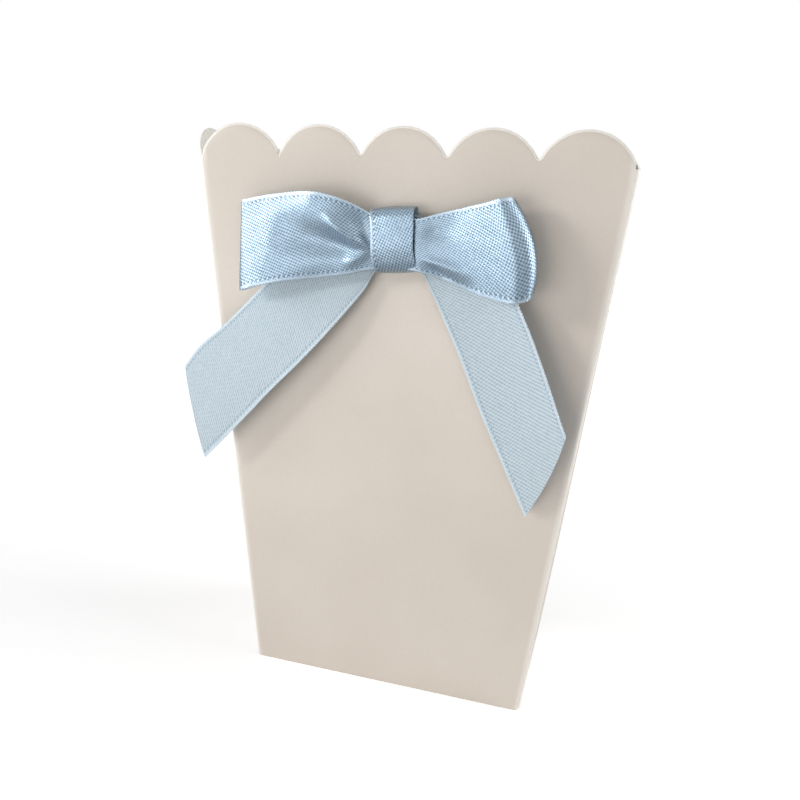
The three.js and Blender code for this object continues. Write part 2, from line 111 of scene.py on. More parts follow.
# Ribbon
RIBBON_WIDTH = 19.0
RIBBON = 0.24            # thickness
BEAD = 0.36              # thickness of the selvage
BEAD_PITCH = 0.8
BEAD_REACH = 0.2         # sideways play of the edge from bead to bead
ACROSS = 64              # faces across a ribbon
STEP = 0.2               # length of a face along a ribbon
GATHER_FADE_ROWS = 30    # the gathers die out over this many rows before a loop's fold
SEAM_INSET = 1.05        # from the ribbon's edge to its line of stitches
STITCH_PITCH = 1.1
BOW_DROP = 17.1
BOW_SHIFT = 1.0
KNOT_HALF_WIDTH = 4.9
KNOT_SHIFT = -0.8
KNOT_TURN = 5.0          # degrees

# Camera, solved from the valleys and corners of the front wall
CAMERA_PLACE = (48.84, -192.55, 109.72)
CAMERA_RIGHT = (0.95745, 0.28261, 0.05842)
CAMERA_DOWN = (0.11208, -0.17760, -0.97769)
CAMERA_FOCAL_PIXELS = 780.0
PICTURE_PIXELS = 800.0


def smoothstep(x, low, high):
    t = np.clip((np.asarray(x, float) - low) / (high - low), 0, 1)
    return t * t * (3 - 2 * t)


# Mesh making

def mesh_object(name, points, quads, slots, materials, attributes=None, sharp=40):
    """A smooth-shaded mesh. points are in millimetres, slots give each quad's material."""
    mesh = bpy.data.meshes.new(name)
    mesh.from_pydata((np.asarray(points) * MM).tolist(), [], np.asarray(quads).tolist())
    for material in materials:
        mesh.materials.append(material)
    mesh.polygons.foreach_set("material_index", np.asarray(slots, np.int32))
    for key, values in (attributes or {}).items():
        values = np.asarray(values, np.float32)
        kind = "FLOAT" if values.ndim == 1 else "FLOAT_VECTOR"
        layer = mesh.attributes.new(key, kind, "POINT")
        layer.data.foreach_set("value" if values.ndim == 1 else "vector", values.ravel())
    mesh.shade_smooth()
    mesh.set_sharp_from_angle(angle=math.radians(sharp))
    mesh.update()
    made = bpy.data.objects.new(name, mesh)
    bpy.context.scene.collection.objects.link(made)
    return made


def slab(outer, inner, close_rows=False):
    """Vertices, quads and regions of the closed solid between two grids of points.

    Regions: 0 the outer face, 1 the inner face, 2 the rim. close_rows joins the last row to the first.
    """
    rows, columns = outer.shape[:2]
    index = np.arange(rows * columns).reshape(rows, columns)
    if close_rows:
        index = np.vstack([index, index[:1]])
    behind = index + rows * columns
    face = np.stack([index[:-1, :-1], index[1:, :-1], index[1:, 1:], index[:-1, 1:]], -1).reshape(-1, 4)
    back = np.stack([behind[:-1, :-1], behind[:-1, 1:], behind[1:, 1:], behind[1:, :-1]], -1).reshape(-1, 4)
    rims = [
        np.stack([index[:-1, 0], behind[:-1, 0], behind[1:, 0], index[1:, 0]], -1),
        np.stack([index[1:, -1], behind[1:, -1], behind[:-1, -1], index[:-1, -1]], -1),
    ]
    if not close_rows:
        rims.append(np.stack([index[0, 1:], behind[0, 1:], behind[0, :-1], index[0, :-1]], -1))
        rims.append(np.stack([index[-1, :-1], behind[-1, :-1], behind[-1, 1:], index[-1, 1:]], -1))
    rim = np.concatenate(rims)
    quads = np.concatenate([face, back, rim])
    regions = np.concatenate([np.zeros(len(face)), np.ones(len(back)), np.full(len(rim), 2)]).astype(int)
    points = np.concatenate([outer.reshape(-1, 3), inner.reshape(-1, 3)])
    return points, quads, regions


def cubic(stations, count, weigh=3):
    """Smooth curve through stations, evenly spaced by the length of its first few columns."""
    stations = np.asarray(stations, float)
    gaps = np.linalg.norm(np.diff(stations[:, :weigh], axis=0), axis=1) ** 0.5
    knots = np.concatenate([[0], np.cumsum(gaps)])
    slopes = np.gradient(stations, knots, axis=0)

    def at(u):
        i = np.clip(np.searchsorted(knots, u, side="right") - 1, 0, len(knots) - 2)
        h = (knots[i + 1] - knots[i])[:, None]
        t = ((u - knots[i]) / (knots[i + 1] - knots[i]))[:, None]
        return (
            stations[i] * (2 * t ** 3 - 3 * t ** 2 + 1) + slopes[i] * h * (t ** 3 - 2 * t ** 2 + t)
            + stations[i + 1] * (3 * t ** 2 - 2 * t ** 3) + slopes[i + 1] * h * (t ** 3 - t ** 2)
        )

    dense = np.linspace(0, knots[-1], 60 * len(stations))
    line = at(dense)[:, :weigh]
    run = np.concatenate([[0], np.cumsum(np.linalg.norm(np.diff(line, axis=0), axis=1))])
    return at(np.interp(np.linspace(0, run[-1], count), run, dense)), run[-1]


def grid_normals(grid):
    along = np.gradient(grid, axis=0)
    across = np.gradient(grid, axis=1)
    normal = np.cross(along, across)
    return normal / np.maximum(np.linalg.norm(normal, axis=2, keepdims=True), 1e-9)


def on_front(x, y, out):
    """World place of a point on the front wall: right, up the board, and out of it."""
    x, y, out = np.broadcast_arrays(np.asarray(x, float), y, out)
    return np.stack([
        x,
        -SIDE_BOTTOM / 2 - y * math.sin(LEAN) - out * math.cos(LEAN),
        y * math.cos(LEAN) - out * math.sin(LEAN),
    ], -1)


def from_bow(x, y, out):
    """World place of a point given from the middle of the bow's knot."""
    return on_front(np.asarray(x) + BOW_SHIFT, np.asarray(y) + SLANT - BOW_DROP, out)


# Materials

class Shader:
    """A node material under construction."""

    def __init__(self, name, **sockets):
        self.material = bpy.data.materials.new(name)
        self.material.use_nodes = True
        self.tree = self.material.node_tree
        self.shader = self.tree.nodes["Principled BSDF"]
        for key, value in sockets.items():
            self.shader.inputs[key.replace("_", " ")].default_value = value

    def node(self, kind, inputs=(), **settings):
        made = self.tree.nodes.new(kind)
        for key, value in settings.items():
            setattr(made, key, value)
        for key, value in dict(inputs).items():
            if isinstance(value, bpy.types.NodeSocket):
                self.tree.links.new(value, made.inputs[key])
            else:
                made.inputs[key].default_value = value
        return made

    def math(self, operation, *values, clamp=False):
        made = self.node("ShaderNodeMath", dict(enumerate(values)), operation=operation, use_clamp=clamp)
        return made.outputs[0]

    def noise(self, scale, detail=3.0, vector=None):
        inputs = {"Scale": scale, "Detail": detail}
        inputs["Vector"] = vector or self.node("ShaderNodeTexCoord").outputs["Object"]
        return self.node("ShaderNodeTexNoise", inputs).outputs["Fac"]

    def attribute(self, name, output="Fac"):
        return self.node("ShaderNodeAttribute", attribute_name=name).outputs[output]

    def mix(self, factor, low, high):
        made = self.node("ShaderNodeMix", data_type="RGBA")
        for socket, value in ((made.inputs[0], factor), (made.inputs[6], low), (made.inputs[7], high)):
            if isinstance(value, bpy.types.NodeSocket):
                self.tree.links.new(value, socket)
            else:
                socket.default_value = value
        return made.outputs[2]

    def range(self, value, low, high, to_low=0.0, to_high=1.0):
        inputs = {"Value": value, "From Min": low, "From Max": high, "To Min": to_low, "To Max": to_high}
        return self.node("ShaderNodeMapRange", inputs).outputs["Result"]

    def bump(self, height, distance, strength=1.0, normal=None):
        inputs = {"Height": height, "Distance": distance, "Strength": strength}
        if normal is not None:
            inputs["Normal"] = normal
        return self.node("ShaderNodeBump", inputs).outputs["Normal"]

    def set(self, socket, value):
        self.tree.links.new(value, self.shader.inputs[socket])


def srgb(red, green, blue):
    """A colour written as 0 to 255 on screen, as the linear colour that a shader takes."""
    def linear(c):
        c = c / 255
        return c / 12.92 if c <= 0.04045 else ((c + 0.055) / 1.055) ** 2.4
    return (linear(red), linear(green), linear(blue), 1.0)


def board_material():
    s = Shader("pearl_board", Roughness=0.42, Coat_Weight=0.12, Coat_Roughness=0.28)
    cloudy = s.noise(38, 2)
    fibre = s.noise(1500, 2)
    tone = s.math("ADD", s.math("MULTIPLY", cloudy, 0.7), s.math("MULTIPLY", fibre, 0.3))
    body = s.mix(s.range(tone, 0.3, 0.7), srgb(217, 206, 194), srgb(225, 215, 203))
    # Paler towards white at the folds: partly the white core of the cracked crease, partly painted light
    # that makes the turned board look lit
    s.set("Base Color", s.mix(s.attribute("fold"), body, srgb(246, 240, 231)))
    s.set("Roughness", s.range(s.noise(420, 3), 0.3, 0.7, 0.37, 0.48))
    fine = s.bump(fibre, 0.00002, 0.6)
    s.set("Normal", s.bump(s.noise(60, 2), 0.00025, 0.5, fine))
    return s.material


def inside_material():
    s = Shader("uncoated_board", Roughness=0.85)
    fibre = s.noise(900, 4)
    s.set("Base Color", s.mix(s.range(fibre, 0.3, 0.7), srgb(233, 229, 220), srgb(244, 241, 234)))
    s.set("Normal", s.bump(fibre, 0.00004, 0.7))
    return s.material


def cut_material():
    s = Shader("cut_edge", Roughness=0.9)
    fibre = s.noise(2600, 3)
    s.set("Base Color", s.mix(s.range(fibre, 0.3, 0.7), srgb(243, 237, 227), srgb(255, 251, 244)))
    s.set("Normal", s.bump(fibre, 0.00005, 0.8))
    return s.material


def ribbon_material(name, light, dark, edge_colour, seam_colour, rows, stitch_range, patchy,
                    roughness, anisotropic, gloss, depth):
    """Satin: floats of thread in two slanting rows, a line of stitches beside each edge, a selvage.

    Each of the rows is its shares along and across the ribbon, its pitch in millimetres and its weight.
    """
    s = Shader(name, Anisotropic=anisotropic, Metallic=gloss, Sheen_Weight=0.08, Sheen_Roughness=0.4,
               Coat_Weight=0.2 * gloss, Coat_Roughness=0.25)
    place = s.node("ShaderNodeSeparateXYZ", {"Vector": s.attribute("weave", "Vector")})
    along, across = place.outputs["X"], place.outputs["Y"]
    wobble = s.math("MULTIPLY", s.math("SUBTRACT", s.noise(230, 3), 0.5), 0.35)

    def row(share_along, share_across, pitch, weight):
        part_along = s.math("MULTIPLY", along, share_along)
        part_across = s.math("MULTIPLY", across, share_across)
        slant = s.math("ADD", part_along, part_across)
        wave = s.math("SINE", s.math("MULTIPLY", s.math("ADD", slant, wobble), 2 * math.pi / pitch))
        return s.math("MULTIPLY", wave, weight)

    floats = s.math("ADD", row(*rows[0]), row(*rows[1]))
    edge = s.math("SUBTRACT", RIBBON_WIDTH / 2, s.math("ABSOLUTE", across))
    to_seam = s.math("ABSOLUTE", s.math("SUBTRACT", edge, SEAM_INSET))
    seam = s.math("SUBTRACT", 1.0, s.math("MULTIPLY", to_seam, 3.0), clamp=True)
    slanting = s.math("ADD", along, s.math("MULTIPLY", edge, 0.5))
    stitch = s.math("SINE", s.math("MULTIPLY", slanting, 2 * math.pi / STITCH_PITCH))
    hole = s.math("MULTIPLY", seam, s.range(stitch, *stitch_range))
    thread = s.math("MULTIPLY", seam, s.range(stitch, -0.3, -0.8))
    selvage = s.math("SUBTRACT", 1.0, s.range(edge, 0.3, 0.7))
    cord = s.math("SINE", s.math("MULTIPLY", s.math("ADD", along, across), 2 * math.pi / BEAD_PITCH))
    relief = s.math("ADD", s.math("MULTIPLY", floats, s.range(selvage, 0, 1, 1, 0.2)),
                    s.math("MULTIPLY", s.math("MULTIPLY", cord, selvage), 0.7))
    patch = s.math("MULTIPLY", s.math("SUBTRACT", s.noise(1500, 3), 0.5), 2 * patchy)
    tone = s.math("ADD", s.range(relief, -0.8, 0.35), patch, clamp=True)
    bright = s.math("MAXIMUM", s.math("MULTIPLY", selvage, 0.7), s.math("MULTIPLY", thread, 0.8))
    cloth = s.mix(bright, s.mix(tone, dark, light), edge_colour)
    s.set("Base Color", s.mix(s.math("MULTIPLY", hole, 0.7), cloth, seam_colour))
    s.set("Roughness", s.range(relief, -0.8, 0.6, roughness + 0.12, roughness - 0.03))
    height = s.math("SUBTRACT", relief, s.math("MULTIPLY", hole, 1.8))
    fuzz = s.bump(s.noise(2200, 3), 0.00002, 0.4)
    s.set("Normal", s.bump(height, depth, 1.0, fuzz))
    s.set("Tangent", s.attribute("thread", "Vector"))
    return s.material


def glue_material():
    s = Shader("glue", Roughness=0.25, Transmission_Weight=0.4, IOR=1.48)
    s.set("Base Color", s.mix(s.noise(700, 3), srgb(222, 216, 200), srgb(240, 237, 228)))
    s.set("Normal", s.bump(s.noise(300, 2), 0.0002, 0.5))
    return s.material


board = board_material()
inside = inside_material()
cut = cut_material()
satin = ribbon_material(
    "satin_face", light=srgb(162, 183, 199), dark=srgb(96, 116, 135),
    edge_colour=srgb(200, 217, 230), seam_colour=srgb(80, 100, 122),
    rows=((0.45, 0.89, 0.62, 0.55), (0.89, -0.45, 0.58, 0.45)), stitch_range=(-0.4, 0.3), patchy=0.4,
    roughness=0.36, anisotropic=0.82, gloss=0.88, depth=0.00002)
reverse = ribbon_material(
    "satin_back", light=srgb(200, 213, 220), dark=srgb(154, 173, 185),
    edge_colour=srgb(218, 232, 241), seam_colour=srgb(136, 158, 174),
    rows=((0.5, -0.87, 0.6, 0.5), (0.98, -0.17, 0.72, 0.3)), stitch_range=(-1.3, -0.2), patchy=0.45,
    roughness=0.55, anisotropic=0.6, gloss=0.12, depth=0.00003)
glue = glue_material()


# Carton: one strip of board that runs round the four walls and ends in the seam flap

def half_width(z):
    """Half the carton's width at a height, with what the folds stand out."""
    return (FRONT_BOTTOM + (FRONT_TOP - FRONT_BOTTOM) * z / HEIGHT) / 2 + FOLD_STAND * (1 + z / HEIGHT)


def half_depth(z):
    return (SIDE_BOTTOM + (SIDE_TOP - SIDE_BOTTOM) * z / HEIGHT) / 2


def fold_radius(z):
    return FOLD_RADIUS + FOLD_OPENING * z / HEIGHT


def scallop_height(x, top_width, slant, count):
    """Height of the cut edge up the board, above the valley line, at a place along it."""
    pitch = top_width / count
    half = pitch / 2
    radius = (half ** 2 + SCALLOP_RISE ** 2) / (2 * SCALLOP_RISE)
    x = np.clip(x, 0.001 - top_width / 2, top_width / 2 - 0.001)
    local = np.mod(x + top_width / 2, pitch) - half
    arc = SCALLOP_RISE - radius + np.sqrt(np.maximum(radius ** 2 - local ** 2, 0))
    edge = SCALLOP_RISE - radius + math.sqrt(radius ** 2 - (half - VALLEY_HALF) ** 2)
    # A valley between two arcs is rounded off; the outer ends of a wall are not valleys
    q = (half - np.abs(local)) / VALLEY_HALF
    in_valley = (q < 1) & (np.abs(x) < top_width / 2 - pitch / 2)
    return slant + np.where(in_valley, edge * (1 + q ** 2) / 2, arc)


def wall_fractions(count, top_half):
    """Places across a wall, closer together at the valleys and at the corners."""
    found = set(np.linspace(-1, 1, 12 * count + 1).round(5))
    pitch = 2 / count
    for i in range(1, count):
        valley = -1 + i * pitch
        for offset in (0, 0.12, 0.24, 0.36, 0.45, 0.7, 1.0, 1.5):
            found |= {round(valley + side * offset / top_half, 5) for side in (-1, 1)}
    for offset in (0.15, 0.4, 0.8, 1.3):
        found |= {round(side * (1 - offset / top_half), 5) for side in (-1, 1)}
    closest = 0.0012
    kept = []
    for f in sorted(found):
        if not kept or f - kept[-1] > closest:
            kept.append(f)
    return kept


def board_columns():
    """Stations round the strip: the wall that each lies on, its place there and its turn on a fold."""
    columns = []
    broad = (FRONT_SCALLOPS, FRONT_TOP / 2)
    narrow = (SIDE_SCALLOPS, SIDE_TOP / 2)
    for wall, sizes in (("back", broad), ("right", narrow), ("front", broad), ("left", narrow)):
        columns += [(wall, f, None) for f in wall_fractions(*sizes)]
        columns += [(wall, 1.0, (i + 0.5) / FOLD_STEPS) for i in range(FOLD_STEPS)]
    columns += [("tab", f, None) for f in np.linspace(0, 1, 7)]
    return columns


FOLD_END = (SLANT - CORNER_DROP) * HEIGHT / SLANT


def right_lean(f):
    """How far the right wall's free scallops turn in at a place along the wall."""
    return math.radians(RIGHT_LEAN + RIGHT_LEAN_GAIN * f)


def column_top(wall, f, turn):
    """Height above the floor of the cut edge at a station, and the slope of that edge."""
    if wall == "tab":
        return FOLD_END - TAB_DROP - TAB_END_SLOPE * f, -TAB_END_SLOPE / TAB_WIDTH
    at_wall_end = abs(f) > 0.9995
    if turn is not None or at_wall_end:
        return FOLD_END, 0.0
    at_slit = wall == "front" and abs(f - SLIT_PLACE) * FRONT_TOP / 2 < 0.1
    if at_slit:
        return HEIGHT - SLIT, 0.0
    broad = wall in ("front", "back")
    top_width, slant, count = (
        (FRONT_TOP, SLANT, FRONT_SCALLOPS) if broad else (SIDE_TOP, SIDE_SLANT, SIDE_SCALLOPS))
    # The place on a scallop depends on the wall's width at the height that is sought
    z = HEIGHT
    for _ in range(6):
        flat = (half_width(z) if broad else half_depth(z)) - fold_radius(z)
        full = (half_width(HEIGHT) if broad else half_depth(HEIGHT)) - fold_radius(HEIGHT)
        x = f * flat / full * top_width / 2
        z = float(scallop_height(np.array(x), top_width, slant, count)) * HEIGHT / slant
    if wall == "right":
        z = FOLD_END + (z - FOLD_END) * math.cos(right_lean(f))
    step = 0.02    # millimetres to each side, to find the slope
    rise = scallop_height(np.array([x - step, x + step]), top_width, slant, count)
    return z, float(rise[1] - rise[0]) / (2 * step)


def strip_point(wall, f, turn, z, depth):
    """Plan place of a station at height z, and its outward direction. depth sinks it into the board."""
    a, b = half_width(z), half_depth(z)
    radius = fold_radius(z)
    half, reach = {
        "back": (a, b), "right": (b, a), "front": (a, b), "left": (b, a),
        "tab": (a, b - CARD - TAB_GAP),
    }[wall]
    if wall == "tab":
        local = np.array([-half + radius + f * (TAB_WIDTH - radius), reach])
        normal = np.array([0.0, 1.0])
    elif turn is not None:
        near = CARD + TAB_GAP if wall == "left" else 0.0
        centre = np.array([half - radius - near, reach - radius])
        angle = math.pi / 2 * (1 - turn)
        normal = np.array([math.cos(angle), math.sin(angle)])
        local = centre + radius * normal
    else:
        start = half if wall == "back" else half - radius
        end = half - radius - (CARD + TAB_GAP if wall == "left" else 0.0)
        local = np.array([f * (end if f > 0 else start), reach])
        normal = np.array([0.0, 1.0])
        if wall == "left":
            # The folds still hold the feet of the outer scallops
            held = smoothstep(abs(f), 0.8, 1) * (1 - smoothstep(z, FOLD_END, FOLD_END + 2))
            local[1] += LEFT_BULGE * (1 - f * f) * smoothstep(z, 0, HEIGHT)
            local[1] += LEFT_FLARE * smoothstep(z, FOLD_END - 2, FOLD_END + 7) * (1 - held)
        if wall == "right":
            local[1] += RIGHT_BULGE * (1 - f * f) * smoothstep(z, 0, HEIGHT)
            rise = max(z - FOLD_END, 0)
            eased = rise * rise / (rise + 0.4)
            local[1] -= eased * math.tan(right_lean(f))
    local = local - normal * depth
    turns = {"back": 0, "tab": 0, "right": 1, "front": 2, "left": 3}[wall]
    c, s = [(1, 0), (0, -1), (-1, 0), (0, 1)][turns]
    rotate = np.array([[c, -s], [s, c]])
    place = rotate @ local
    place[0] -= SKEW * smoothstep(z, 0, 1.1 * HEIGHT) * (place[1] / b + 1) / 2
    return place, rotate @ normal


def carton_walls():
    """The walls, their folds and the seam flap as one bent sheet."""
    outer, inner, fold = [], [], []
    for wall, f, turn in board_columns():
        top, slope = column_top(wall, f, turn)
        bottom = LOWER_EDGE[wall]
        if turn is not None:
            bottom += (LOWER_EDGE[NEXT_WALL[wall]] - bottom) * turn
        if wall == "tab":
            bottom += TAB_FOOT_SLOPE * f
        tangent = np.array([1.0, slope]) / math.hypot(1, slope)
        shift, drop = tangent[1] * EDGE_BEVEL, tangent[0] * EDGE_BEVEL
        edge_from = min(FOLD_END - EDGE_ZONE, top - TAB_EDGE_ZONE)
        heights = np.concatenate([
            np.linspace(bottom, edge_from, WALL_ROWS, endpoint=False),
            np.linspace(edge_from, top - drop, EDGE_ROWS),
        ])
        front_line, back_line = [], []
        for k, z in enumerate(heights):
            point, normal = strip_point(wall, f, turn, z, 0.0)
            behind, _ = strip_point(wall, f, turn, z, CARD)
            share = smoothstep(k, WALL_ROWS, WALL_ROWS + EDGE_ROWS - 1) if turn is None else 0.0
            along = np.array([normal[1], -normal[0]])
            side = along * shift * float(share)
            front_line.append([*(point + side), z])
            back_line.append([*(behind + side), z])
        rim, _ = strip_point(wall, f, turn, top, EDGE_SINK)
        rim_back, _ = strip_point(wall, f, turn, top, CARD)
        front_line.append([*rim, top])
        back_line.append([*rim_back, top])
        outer.append(front_line)
        inner.append(back_line)
        # Paleness of the folds and of the wall ends beside them: the crease's white core, and painted light
        # on the board where it turns to the side
        crease_core_and_painted_light = 1.0 if turn is not None else float(smoothstep(abs(f), 0.975, 1.0)) * 0.6
        fold.append(np.full(len(front_line), crease_core_and_painted_light))
    outer, inner, fold = np.array(outer), np.array(inner), np.array(fold)
    points, quads, regions = slab(outer[::-1], inner[::-1])
    rows = outer.shape[1]
    in_top_row = np.arange(len(points)) % rows == rows - 1
    on_bevel = in_top_row[quads].sum(1) == 2
    slots = regions.copy()
    slots[(regions == 0) & on_bevel] = 2
    made = mesh_object("carton_walls", points, quads, slots, [board, inside, cut],
                       {"fold": np.tile(fold[::-1].ravel(), 2)}, sharp=50)
    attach(made, "carton")
    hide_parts("front_panel", "back_panel", "left_side_panel", "right_side_panel", "glue_tab")
    return made


def fold_strip(name, axis, side, low, high, edge, level, reach, rise):
    """The bent board between a standing piece and a lying one.

    axis is the direction of the crease, side the way its outside faces, low and high its ends, edge and
    level the planes of the standing and lying outer faces, reach and rise how far it runs in under them.
    """
    radius = 0.5
    thick = CARD - 0.07      # it stays inside the board's faces
    count = 40
    turns = np.linspace(0, math.pi / 2, 9)
    profile = [(edge, level + rise), (edge, level + radius + 0.02)]
    profile += [(edge - radius * (1 - math.cos(t)), level + radius * (1 - math.sin(t))) for t in turns]
    profile += [(edge - radius - 0.02, level), (edge - reach, level)]
    profile = np.array(profile)
    slope = np.gradient(profile, axis=0)
    slope /= np.linalg.norm(slope, axis=1, keepdims=True)
    within = profile + np.stack([slope[:, 1], -slope[:, 0]], -1) * thick
    places = np.linspace(low, high, count)
    grids = []
    for line in (profile, within):
        out, up, along = np.broadcast_arrays(line[:, 0, None], line[:, 1, None], places[None, :])
        grids.append(np.stack([along, side * out, up] if axis == "x" else [side * out, along, up], -1))
    if (side > 0) == (axis == "x"):
        grids = [grid[:, ::-1] for grid in grids]
    points, quads, regions = slab(*grids)
    made = mesh_object(name, points, quads, np.where(regions == 1, 1, 0), [board, inside])
    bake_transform(made)


def folds():
    """The bent board at the four creases of the bottom, set a little inside the solids' outer faces."""
    bottom = np.array(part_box("bottom_panel")) / MM
    tongue = np.array(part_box("tuck_tongue")) / MM
    flap = np.array(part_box("right_dust_flap")) / MM
    sunk = 0.03
    level = bottom[0][2] + sunk
    inset = 0.4
    low, high = bottom[0][0] + inset, bottom[1][0] - inset
    fold_strip("bottom_fold", "x", 1, low, high,
               half_depth(0) - sunk, level, 1.6, 1.6)
    low, high = tongue[0][0] + inset, tongue[1][0] - inset
    fold_strip("tongue_fold", "x", -1, low, high,
               -tongue[0][1] - sunk, level, 1.4, 1.6)
    level, low, high = flap[0][2] + sunk, flap[0][1] + inset, flap[1][1] - inset
    edge = half_width(LOWER_EDGE["right"]) - sunk
    fold_strip("left_flap_fold", "y", -1, low, high, edge, level, 2.0, 1.8)
    fold_strip("right_flap_fold", "y", 1, low, high, edge, level, 2.0, 1.8)


# Bow

def ribbon_solid(name, grid, length, faces, replaced,
                 closed=False, cloth=(-1.0, 1.0)):
    """A closed ribbon round a middle surface: rows along it, columns across it.

    cloth says which part of the ribbon's width the columns show, from -1 to 1.
    """
    rows, columns = grid.shape[:2]
    across = np.linspace(cloth[0], cloth[1], columns) * RIBBON_WIDTH / 2
    along = np.linspace(0, length, rows)
    thread = np.gradient(grid, axis=1)
    thread /= np.linalg.norm(thread, axis=2, keepdims=True)
    at_edge = smoothstep(np.abs(across), RIBBON_WIDTH / 2 - 0.45, RIBBON_WIDTH / 2 - 0.15)
    beads = 0.5 + 0.5 * np.sin(along * 2 * math.pi / BEAD_PITCH)
    grid = grid + thread * (BEAD_REACH * np.sign(across) * at_edge * (beads[:, None] - 0.5))[..., None]
    normal = grid_normals(np.vstack([grid, grid[:1]]))[:-1] if closed else grid_normals(grid)
    thick = RIBBON + at_edge[None, :] * (BEAD - RIBBON) * (0.6 + 0.8 * beads[:, None])
    thick[:, [0, -1]] *= 0.45
    outer = grid + normal * thick[..., None] / 2
    inner = grid - normal * thick[..., None] / 2
    points, quads, regions = slab(outer, inner, close_rows=closed)
    weave = np.stack(np.broadcast_arrays(along[:, None], across[None, :], 0.0), -1)
    doubled = {"weave": weave, "thread": thread}
    doubled = {key: np.concatenate([values.reshape(-1, 3)] * 2) for key, values in doubled.items()}
    made = mesh_object(name, points, quads, np.where(regions == 1, 1, 0), faces, doubled, sharp=70)
    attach(made, "carton")
    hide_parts(replaced)
    return made


def ribbon_line(stations):
    """A ribbon's stations, smoothed and set a step apart along its middle line, and its length."""
    stations = np.array(stations)
    guide = np.column_stack([stations[:, 1], stations[:, 3:5].mean(1), stations[:, 6]])
    _, length = cubic(guide, 10)
    line, _ = cubic(np.column_stack([guide, stations]), int(length / STEP))
    return line[:, 3:], length


def across_profile(line, across):
    """Points across a ribbon: x and z at its low edge, middle and high edge, y at both edges."""
    x_low, x_mid, x_high, y_low, y_high, z_low, z_mid, z_high = (line[:, i, None] for i in range(8))
    w = (across[None, :] + 1) / 2
    low, mid, high = (1 - w) * (1 - 2 * w), 4 * w * (1 - w), w * (2 * w - 1)
    x = x_low * low + x_mid * mid + x_high * high
    z = z_low * low + z_mid * mid + z_high * high
    return x, y_low + (y_high - y_low) * w, z


def relax(values, rounds):
    """Rounds off the creases in a grid of heights."""
    for _ in range(rounds):
        padded = np.pad(values, 1, mode="edge")
        values = (padded[:-2, 1:-1] + padded[2:, 1:-1] + padded[1:-1, :-2] + padded[1:-1, 2:]) / 4
    return values


# Stations of the left loop: x at the low edge, middle and high edge, y at both edges, z at the low
# edge, middle and high edge. They run from the knot along the front, round the fold and back behind.
LEFT_LOOP = [
    (-1.2, -1.2, -1.2, -5.8, 5.6, 5.0, 5.0, 5.0),
    (-5.6, -5.6, -5.6, -6.3, 5.3, 5.5, 5.9, 5.2),
    (-9.0, -9.0, -9.0, -7.1, 6.9, 5.8, 6.8, 6.3),
    (-12.0, -12.0, -12.0, -7.8, 8.1, 6.0, 7.5, 7.6),
    (-15.0, -15.0, -15.0, -8.3, 8.9, 6.2, 8.1, 8.2),
    (-18.0, -18.0, -18.0, -8.8, 9.2, 6.4, 8.5, 8.1),
    (-22.0, -22.0, -22.0, -9.4, 9.1, 7.1, 8.4, 7.2),
    (-26.0, -26.0, -26.0, -10.1, 8.6, 7.7, 8.0, 6.4),
    (-30.0, -30.0, -30.0, -11.0, 8.0, 8.2, 7.3, 5.8),
    (-34.4, -34.4, -34.4, -12.3, 7.1, 7.7, 6.5, 5.3),
    (-35.9, -35.9, -35.9, -12.8, 6.8, 6.8, 5.9, 5.0),
    (-36.1, -36.2, -36.1, -13.0, 6.6, 5.8, 5.1, 4.5),
    (-34.9, -35.0, -34.9, -12.8, 6.4, 4.6, 4.3, 4.1),
    (-28.5, -28.5, -28.5, -10.2, 6.6, 3.9, 3.8, 4.1),
    (-18.0, -18.0, -18.0, -7.9, 7.2, 3.6, 3.5, 3.7),
    (-10.0, -10.0, -10.0, -6.6, 6.4, 3.3, 3.3, 3.3),
    (-5.6, -5.6, -5.6, -5.6, 5.1, 3.1, 3.1, 3.1),
    (-1.2, -1.2, -1.2, -5.4, 5.4, 3.1, 3.1, 3.1),
]
RIGHT_LOOP = [
    (-0.4, -0.4, -0.4, -5.6, 5.5, 5.0, 5.0, 5.0),
    (4.2, 4.2, 4.2, -6.0, 4.7, 5.6, 5.9, 5.5),
    (8.0, 8.0, 7.8, -6.8, 5.7, 5.3, 5.9, 5.4),
    (12.6, 12.5, 12.0, -8.1, 6.8, 5.8, 6.4, 5.8),
    (17.0, 16.8, 15.2, -9.4, 7.7, 6.9, 7.5, 6.7),
    (21.0, 20.6, 18.0, -10.2, 8.4, 8.4, 8.9, 7.8),
    (24.2, 23.8, 20.2, -10.6, 9.0, 9.5, 10.0, 8.7),
    (26.4, 26.0, 21.7, -10.6, 9.5, 9.8, 10.2, 9.1),
    (28.4, 28.0, 23.0, -10.1, 9.7, 9.0, 9.1, 8.4),
    (29.2, 29.0, 23.8, -9.5, 9.8, 7.6, 7.6, 7.3),
    (29.2, 29.0, 23.9, -9.3, 9.8, 5.9, 5.9, 5.8),
    (27.8, 27.8, 22.9, -9.2, 9.6, 4.6, 4.6, 4.6),
    (22.0, 22.0, 19.0, -9.0, 8.5, 4.1, 4.0, 4.3),
    (14.0, 14.0, 12.5, -7.8, 6.8, 3.7, 3.6, 3.8),
    (4.2, 4.2, 4.2, -5.4, 4.6, 3.1, 3.1, 3.1),
    (-0.4, -0.4, -0.4, -5.4, 5.0, 3.1, 3.1, 3.1),
]


def from_foot(x, y, foot, angle):
    """Distances along and beside a line that leaves foot at an angle in degrees."""
    turn = math.radians(angle)
    along = (x - foot[0]) * math.cos(turn) + (y - foot[1]) * math.sin(turn)
    beside = (y - foot[1]) * math.cos(turn) - (x - foot[0]) * math.sin(turn)
    return along, beside


def pleat(x, y, foot, angle, reach, height, width):
    """A ridge that runs from its foot at the knot, opens, and ends in a rounded nose."""
    along, beside = from_foot(x, y, foot, angle)
    spread = width * (0.3 + 0.7 * np.clip(along / reach, 0, 1))
    crest = height / (1 + (beside / spread) ** 2) ** 1.5
    nose = 1 - smoothstep(along, 0.55 * reach, reach)
    return crest * smoothstep(along, 0, 0.3 * reach) * nose


